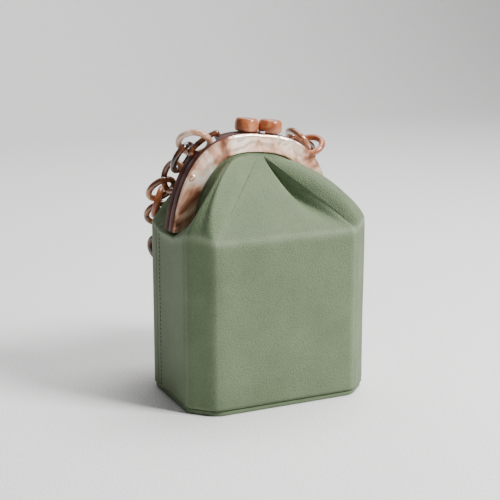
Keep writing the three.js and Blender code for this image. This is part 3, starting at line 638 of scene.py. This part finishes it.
def cut_notches(piece):
    """Cuts the slots under the ears out of a frame half."""
    for side in (-1, 1):
        point, along, outward = rim_place(side * EAR_PLACE)
        deep = NOTCH_REACH + 2 * FRAME_THICKNESS
        corners = []
        for t in (-NOTCH_LENGTH / 2, NOTCH_LENGTH / 2):
            for y in (-NOTCH_REACH, deep - NOTCH_REACH):
                for h in (-NOTCH_DEPTH, NOTCH_DEPTH):
                    flat = point + along * t + outward * h
                    corners.append(lean_point(flat[0], flat[1], y))
        faces = [(0, 1, 3, 2), (4, 6, 7, 5), (0, 4, 5, 1),
                 (2, 3, 7, 6), (0, 2, 6, 4), (1, 5, 7, 3)]
        mesh = bpy.data.meshes.new("notch")
        mesh.from_pydata([tuple(c * MM) for c in corners], [], faces)
        cutter = bpy.data.objects.new("notch", mesh)
        bpy.context.scene.collection.objects.link(cutter)
        cut = piece.modifiers.new("notch", "BOOLEAN")
        cut.operation = "DIFFERENCE"
        cut.solver = "EXACT"
        cut.object = cutter
        graph = bpy.context.evaluated_depsgraph_get()
        made = bpy.data.meshes.new_from_object(piece.evaluated_get(graph))
        piece.modifiers.clear()
        piece.data = made
        bpy.data.objects.remove(cutter)


def frame_half(name, facing, pearl, edge):
    """One half of the frame: its section carried along the arch from end to end."""
    section = frame_section()
    rings = []
    for i in range(-FRAME_STATIONS, FRAME_STATIONS + 1):
        side = -1 if i < 0 else 1
        share = abs(i) / FRAME_STATIONS
        inner, outer = arch_at(INNER_ARCH, share), arch_at(OUTER_ARCH, share)
        out = (outer - inner) / np.linalg.norm(outer - inner)
        ring = []
        for r, y in section:
            flat = (outer if r < 0 else inner) + out * r
            ring.append(lean_point(side * flat[0], flat[1], -facing * y))
        rings.append(ring)
    if facing < 0:
        rings.reverse()
    faces = tube_faces(len(rings), len(section))
    piece = add_mesh(name + "_pearl", np.array(rings).reshape(-1, 3), faces, pearl, name)
    cut_notches(piece)
    finish_frame(piece, facing, pearl, edge)


def finish_frame(piece, facing, pearl, edge):
    """Gives the face its pearl and the rim its dark edge, and smooths all but sharp edges."""
    mesh = piece.data
    mesh.materials.clear()
    mesh.materials.append(pearl)
    mesh.materials.append(edge)
    for polygon in mesh.polygons:
        polygon.use_smooth = True
        toward = -facing * polygon.normal.y
        x = polygon.center.x / MM
        z = polygon.center.z / MM
        polygon.material_index = 1 if toward < 0.55 and is_outer(x, z) else 0
    mesh.set_sharp_from_angle(angle=math.radians(32))


def is_outer(x, z):
    """Whether a point of the frame is nearer to its rim than to its opening."""
    cos, sin = math.cos(FRAME_LEAN), math.sin(FRAME_LEAN)
    dx, dz = x - FRAME_SHIFT, z - FRAME_TOP
    across = dx * cos - dz * sin
    up = dx * sin + dz * cos
    level = max(0, (FRAME_SPRING + up) / FRAME_SPRING)
    return (abs(across) / FRAME_OUTER_HALF) ** FRAME_POWER + level ** FRAME_POWER > 0.8


def lathe(profile, segments):
    rings = [[(r * math.cos(a), r * math.sin(a), z) for r, z in profile]
             for a in np.arange(segments) * 2 * math.pi / segments]
    return np.array(rings), grid_faces(segments, len(profile), wrap_columns=True)


def smooth_profile(points, steps):
    """Catmull-Rom curve through a lathe's profile points."""
    p = np.array([points[0], *points, points[-1]], float)
    out = []
    for i in range(1, len(p) - 2):
        for t in np.arange(steps) / steps:
            a, b, c, d = p[i - 1], p[i], p[i + 1], p[i + 2]
            out.append(0.5 * (2 * b + (c - a) * t + (2 * a - 5 * b + 4 * c - d) * t ** 2
                              + (3 * b - a - 3 * c + d) * t ** 3))
    out.append(p[-2])
    return out


def clasp_knob(side, word, material):
    """Round knob: flat top, sloped shoulder, full waist."""
    shape = [(0.84, 0.0), (0.93, 0.04), (0.985, 0.16), (1, 0.36), (0.995, 0.6), (0.95, 0.8),
             (0.87, 0.94), (0.74, 0.995)]
    profile = [(0.001, 0), (0.4, 0), *smooth_profile(shape, 4), (0.4, 1), (0.001, 1)]
    rings, faces = lathe([(r * KNOB_RADIUS, z * KNOB_HEIGHT) for r, z in profile], KNOB_STEPS)
    middle = side * (KNOB_RADIUS + CLEARANCE / 2)
    points = [lean_point(middle + x, CLEARANCE + z, y - side * KNOB_STAGGER)
              for x, y, z in rings.reshape(-1, 3)]
    add_mesh(f"clasp_knob_{word}_amber", points, faces, material, f"clasp_knob_{word}")


def rivet(side, word, material):
    """Small dome on the front face of the frame."""
    shape = [(1, 0.0), (0.98, 0.25), (0.86, 0.6), (0.55, 0.9), (0.2, 0.99)]
    profile = [(0.001, 0), *smooth_profile(shape, 4), (0.001, 1)]
    rings, faces = lathe([(r * RIVET_RADIUS, z * RIVET_HEIGHT) for r, z in profile], RIVET_STEPS)
    inner, outer = (np.interp(-RIVET_DROP, arch[0][::-1, 1], arch[0][::-1, 0])
                    for arch in (INNER_ARCH, OUTER_ARCH))
    across = side * (inner + (outer - inner) * RIVET_PLACE)
    points = [lean_point(across + x, -RIVET_DROP + y, -FRAME_THICKNESS - CLEARANCE - z)
              for x, y, z in rings.reshape(-1, 3)]
    add_mesh(f"rivet_{word}_pearl", points, faces, material, f"rivet_{word}")


def chain_ear(side, word, material):
    """Low bridge of round rod over its notch, its feet on the back half's rim."""
    half = EAR_LENGTH / 2
    steps = [(-half, CLEARANCE), (-half + 0.5, EAR_RISE * 0.9), (-half + 3.2, EAR_RISE),
             (0, EAR_RISE), (half - 3.2, EAR_RISE), (half - 0.5, EAR_RISE * 0.9), (half, CLEARANCE)]
    _, centre_along, _ = rim_place(side * EAR_PLACE)
    path = []
    for t, rise in smooth_profile(steps, 6):
        point, _, outward = rim_place(side * EAR_PLACE + t * centre_along[0])
        path.append(point + outward * rise)
    path = np.array(path)
    rings = []
    for i, p in enumerate(path):
        _, _, outward = rim_place(p[0])
        tangent = path[min(i + 1, len(path) - 1)] - path[max(i - 1, 0)]
        if i == 0 or i == len(path) - 1:
            tangent = outward * (1 if i == 0 else -1)
        tangent = tangent / np.linalg.norm(tangent)
        normal = np.array([tangent[1], -tangent[0]])
        ring = []
        for a in np.arange(EAR_SIDES) * 2 * math.pi / EAR_SIDES:
            flat = p + normal * math.cos(a) * EAR_WIRE / 2
            ring.append(lean_point(flat[0], flat[1], EAR_Y + math.sin(a) * EAR_WIRE / 2))
        rings.append(ring)
    faces = tube_faces(len(rings), EAR_SIDES)
    name = f"chain_ear_{word}"
    add_mesh(name + "_rod", np.array(rings).reshape(-1, 3), faces, material, name)


def chain_link(node, material):
    """A fine oval link where the CAD link lies, its axes taken from the CAD link."""
    corners = np.array([v.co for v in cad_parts[node].data.vertices]) / MM
    corners = np.unique(corners.round(3), axis=0)
    middle = corners.mean(0)
    _, _, axes = np.linalg.svd(corners - middle)
    long, short, normal = axes
    long_radius = (LINK_LENGTH - LINK_WIRE) / 2
    short_radius = (LINK_BREADTH - LINK_WIRE) / 2
    rings = []
    for turn in np.arange(LINK_STEPS) * 2 * math.pi / LINK_STEPS:
        cos, sin = math.cos(turn), math.sin(turn)
        centre = middle + long * cos * long_radius + short * sin * short_radius
        out = long * cos / long_radius + short * sin / short_radius
        out = out / np.linalg.norm(out)
        rings.append([centre + (out * math.cos(a) + normal * math.sin(a)) * LINK_WIRE / 2
                      for a in np.arange(WIRE_STEPS) * 2 * math.pi / WIRE_STEPS])
    faces = grid_faces(LINK_STEPS, WIRE_STEPS, wrap_columns=True, wrap_rows=True)
    points = np.array(rings).reshape(-1, 3)
    add_mesh(node + "_oval", points, faces, material, node)


# Materials

def new_material(name):
    material = bpy.data.materials.new(name)
    material.use_nodes = True
    nodes = material.node_tree.nodes
    links = material.node_tree.links
    shader = nodes["Principled BSDF"]
    return material, nodes, links, shader


def add_node(nodes, kind, **settings):
    node = nodes.new(kind)
    for key, value in settings.items():
        if key in node.inputs:
            node.inputs[key].default_value = value
        else:
            setattr(node, key, value)
    return node


def ramp(nodes, stops):
    node = nodes.new("ShaderNodeValToRGB")
    elements = node.color_ramp.elements
    while len(elements) < len(stops):
        elements.new(0.5)
    for element, (place, color) in zip(elements, stops):
        element.position = place
        element.color = (*color, 1)
    return node


def leather_material():
    """Sage leather: pebbled grain in slanting rows, cloudy tint, and lighter folds that are partly
    wear and partly a painted highlight.
    """
    material, nodes, links, shader = new_material("sage_leather")
    where = nodes.new("ShaderNodeTexCoord")
    slant = add_node(nodes, "ShaderNodeMapping")
    slant.inputs["Rotation"].default_value = (0.0, 0.6, 0.0)
    slant.inputs["Scale"].default_value = (1.0, 1.0, 1.7)
    links.new(where.outputs["Object"], slant.inputs["Vector"])
    pebble = add_node(nodes, "ShaderNodeTexVoronoi", Scale=700.0, Randomness=1.0)
    links.new(slant.outputs["Vector"], pebble.inputs["Vector"])
    fine = add_node(nodes, "ShaderNodeTexNoise", Scale=1100.0, Detail=3.0)
    links.new(slant.outputs["Vector"], fine.inputs["Vector"])
    cloud = add_node(nodes, "ShaderNodeTexNoise", Scale=28.0, Detail=4.0, Roughness=0.6)
    links.new(where.outputs["Object"], cloud.inputs["Vector"])
    tint = ramp(nodes, [(0.3, (0.116, 0.156, 0.088)), (0.55, (0.134, 0.178, 0.101)),
                        (0.75, (0.152, 0.200, 0.116))])
    links.new(cloud.outputs["Fac"], tint.inputs["Fac"])
    pits = ramp(nodes, [(0.0, (1, 1, 1)), (0.4, (0.9, 0.9, 0.9)), (0.8, (0.5, 0.5, 0.47))])
    links.new(pebble.outputs["Distance"], pits.inputs["Fac"])
    darken = add_node(nodes, "ShaderNodeMix", data_type="RGBA", blend_type="MULTIPLY")
    darken.inputs["Factor"].default_value = 0.3
    links.new(tint.outputs["Color"], darken.inputs["A"])
    links.new(pits.outputs["Color"], darken.inputs["B"])
    # Painted lighter along the fold and at the corners: wear, plus a painted highlight on the
    # fold's ridge.
    wear_and_highlight = add_node(nodes, "ShaderNodeAttribute", attribute_name="wear_and_highlight")
    amount = add_node(nodes, "ShaderNodeMath", operation="MULTIPLY")
    links.new(wear_and_highlight.outputs["Fac"], amount.inputs[0])
    links.new(cloud.outputs["Fac"], amount.inputs[1])
    lighten = add_node(nodes, "ShaderNodeMix", data_type="RGBA", blend_type="MIX")
    links.new(amount.outputs["Value"], lighten.inputs["Factor"])
    links.new(darken.outputs["Result"], lighten.inputs["A"])
    lighten.inputs["B"].default_value = (0.28, 0.34, 0.23, 1)
    links.new(lighten.outputs["Result"], shader.inputs["Base Color"])
    rough = add_node(nodes, "ShaderNodeMapRange")
    rough.inputs["To Min"].default_value = 0.46
    rough.inputs["To Max"].default_value = 0.62
    links.new(fine.outputs["Fac"], rough.inputs["Value"])
    links.new(rough.outputs["Result"], shader.inputs["Roughness"])
    mixed = add_node(nodes, "ShaderNodeMath", operation="MULTIPLY_ADD")
    links.new(fine.outputs["Fac"], mixed.inputs[0])
    mixed.inputs[1].default_value = 0.35
    links.new(pebble.outputs["Distance"], mixed.inputs[2])
    bump = add_node(nodes, "ShaderNodeBump", Strength=0.8, Distance=0.00048)
    bump.invert = True
    links.new(mixed.outputs["Value"], bump.inputs["Height"])
    links.new(bump.outputs["Normal"], shader.inputs["Normal"])
    shader.inputs["Specular IOR Level"].default_value = 0.15
    return material


def plain_material(name, color, roughness, metallic=0.0, grain=600.0, depth=0.00003):
    """A plain finish with a slight mottle and a slight bump."""
    material, nodes, links, shader = new_material(name)
    where = nodes.new("ShaderNodeTexCoord")
    mottle = add_node(nodes, "ShaderNodeTexNoise", Scale=grain, Detail=3.0)
    links.new(where.outputs["Object"], mottle.inputs["Vector"])
    dark = tuple(c * 0.82 for c in color)
    light = tuple(min(1, c * 1.12) for c in color)
    tint = ramp(nodes, [(0.3, dark), (0.7, light)])
    links.new(mottle.outputs["Fac"], tint.inputs["Fac"])
    links.new(tint.outputs["Color"], shader.inputs["Base Color"])
    bump = add_node(nodes, "ShaderNodeBump", Strength=0.3, Distance=depth)
    links.new(mottle.outputs["Fac"], bump.inputs["Height"])
    links.new(bump.outputs["Normal"], shader.inputs["Normal"])
    shader.inputs["Roughness"].default_value = roughness
    shader.inputs["Metallic"].default_value = metallic
    return material


def swirled_material(name, stops, scale, distortion, roughness, metallic=0.0, coat=0.8,
                     specular=0.5, wave=0.0):
    """Cast acrylic: cloudy swirls of several tones under a clear polish."""
    material, nodes, links, shader = new_material(name)
    where = nodes.new("ShaderNodeTexCoord")
    swirl = add_node(
        nodes, "ShaderNodeTexNoise", Scale=scale, Detail=3.5, Roughness=0.55, Distortion=distortion)
    links.new(where.outputs["Object"], swirl.inputs["Vector"])
    tint = ramp(nodes, stops)
    links.new(swirl.outputs["Fac"], tint.inputs["Fac"])
    links.new(tint.outputs["Color"], shader.inputs["Base Color"])
    shader.inputs["Roughness"].default_value = roughness
    shader.inputs["Metallic"].default_value = metallic
    shader.inputs["Specular IOR Level"].default_value = specular
    shader.inputs["Coat Weight"].default_value = coat
    shader.inputs["Coat Roughness"].default_value = 0.05
    if wave:
        ripple = add_node(nodes, "ShaderNodeTexNoise", Scale=70.0, Detail=1.0, Distortion=0.6)
        links.new(where.outputs["Object"], ripple.inputs["Vector"])
        bump = add_node(nodes, "ShaderNodeBump", Strength=wave, Distance=0.0022)
        links.new(ripple.outputs["Fac"], bump.inputs["Height"])
        links.new(bump.outputs["Normal"], shader.inputs["Normal"])
    return material


def make_stage():
    """A pale floor that sweeps up into a wall behind the bag."""
    floor = plain_material("pale_floor", (0.86, 0.855, 0.85), 0.85)
    turn = np.linspace(0, math.pi / 2, 17)
    sweep = [(FLOOR_FAR + SWEEP_RADIUS * math.sin(a), SWEEP_RADIUS * (1 - math.cos(a)))
             for a in turn]
    line = [(FLOOR_NEAR, 0), *sweep, (FLOOR_FAR + SWEEP_RADIUS, WALL_HEIGHT)]
    points = [(x, y, z) for y, z in line for x in (-FLOOR_HALF, FLOOR_HALF)]
    faces = [(2 * i, 2 * i + 1, 2 * i + 3, 2 * i + 2) for i in range(len(line) - 1)]
    mesh = bpy.data.meshes.new("floor")
    mesh.from_pydata(points, [], faces)
    mesh.materials.append(floor)
    for polygon in mesh.polygons:
        polygon.use_smooth = True
    stage = bpy.data.objects.new("floor", mesh)
    bpy.context.scene.collection.objects.link(stage)


def make_lights():
    bag = Vector((0, 0, 0.11))
    wall = Vector((0, 2.3, 0.2))
    for name, place, size, power in (
            ("key", (0.85, -0.95, 1.2), 0.45, 56),
            ("top", (0.5, 0.15, 1.5), 0.8, 20),
            ("backdrop", (0.3, 0.9, 1.8), 1.2, 24)):
        data = bpy.data.lights.new(name, "AREA")
        data.size = size
        data.energy = power
        light = bpy.data.objects.new(name, data)
        bpy.context.scene.collection.objects.link(light)
        light.location = place
        aim = wall if name == "backdrop" else bag
        light.rotation_euler = (aim - Vector(place)).to_track_quat("-Z", "Y").to_euler()
    world = bpy.data.worlds.new("studio")
    world.use_nodes = True
    world.node_tree.nodes["Background"].inputs["Color"].default_value = (1.0, 0.99, 0.97, 1)
    world.node_tree.nodes["Background"].inputs["Strength"].default_value = 0.1
    bpy.context.scene.world = world


def main():
    make_camera()
    leather = leather_material()
    thread = plain_material("sage_thread", (0.035, 0.04, 0.024), 0.7, grain=2500.0)
    pearl = swirled_material(
        "rose_gold_pearl",
        [(0.38, (0.26, 0.10, 0.055)), (0.46, (0.60, 0.31, 0.20)), (0.53, (0.92, 0.62, 0.45)),
         (0.62, (1.0, 0.88, 0.76))],
        scale=17.0, distortion=2.2, roughness=0.26, metallic=0.5, coat=0.2, wave=0.9)
    edge = swirled_material(
        "dark_rim", [(0.35, (0.045, 0.013, 0.010)), (0.65, (0.105, 0.034, 0.026))],
        scale=40.0, distortion=0.5, roughness=0.45, coat=0.0, specular=0.15)
    amber = swirled_material(
        "amber_acrylic",
        [(0.36, (0.26, 0.07, 0.026)), (0.5, (0.38, 0.115, 0.042)), (0.66, (0.55, 0.20, 0.085))],
        scale=60.0, distortion=1.6, roughness=0.28, coat=0.25)
    tortoise = swirled_material(
        "tortoise_acrylic",
        [(0.40, (0.028, 0.009, 0.006)), (0.52, (0.10, 0.032, 0.014)), (0.66, (0.34, 0.125, 0.05))],
        scale=55.0, distortion=0.8, roughness=0.15)
    honey = swirled_material(
        "honey_acrylic",
        [(0.38, (0.16, 0.05, 0.02)), (0.52, (0.34, 0.12, 0.05)), (0.68, (0.60, 0.28, 0.14))],
        scale=50.0, distortion=0.9, roughness=0.15)
    pale = swirled_material(
        "pale_acrylic",
        [(0.36, (0.30, 0.13, 0.07)), (0.52, (0.52, 0.28, 0.17)), (0.68, (0.80, 0.58, 0.44))],
        scale=45.0, distortion=0.9, roughness=0.15)
    silver = plain_material("silver", (0.86, 0.86, 0.86), 0.2, metallic=1.0, grain=900.0)

    leather_panel("front_panel", front_stations(), leather)
    leather_panel("back_panel", back_stations(), leather)
    base_panel(leather)
    frame_half("frame_front", 1, pearl, edge)
    frame_half("frame_back", -1, pearl, edge)
    for side, word in ((-1, "left"), (1, "right")):
        side_stitches(side, thread)
        clasp_knob(side, word, amber)
        rivet(side, word, pearl)
        chain_ear(side, word, tortoise)
    links = sorted(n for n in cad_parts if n.startswith("chain_link"))
    tones = (pale, tortoise, honey, honey, amber, tortoise)
    for i, node in enumerate(links):
        tone = amber if i == len(links) - 1 else tones[i % len(tones)]
        chain_link(node, tone)
    for node in ("clasp_catch", "hinge_left", "hinge_right"):
        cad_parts[node].data.materials.clear()
        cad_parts[node].data.materials.append(silver)
    make_stage()
    make_lights()


main()
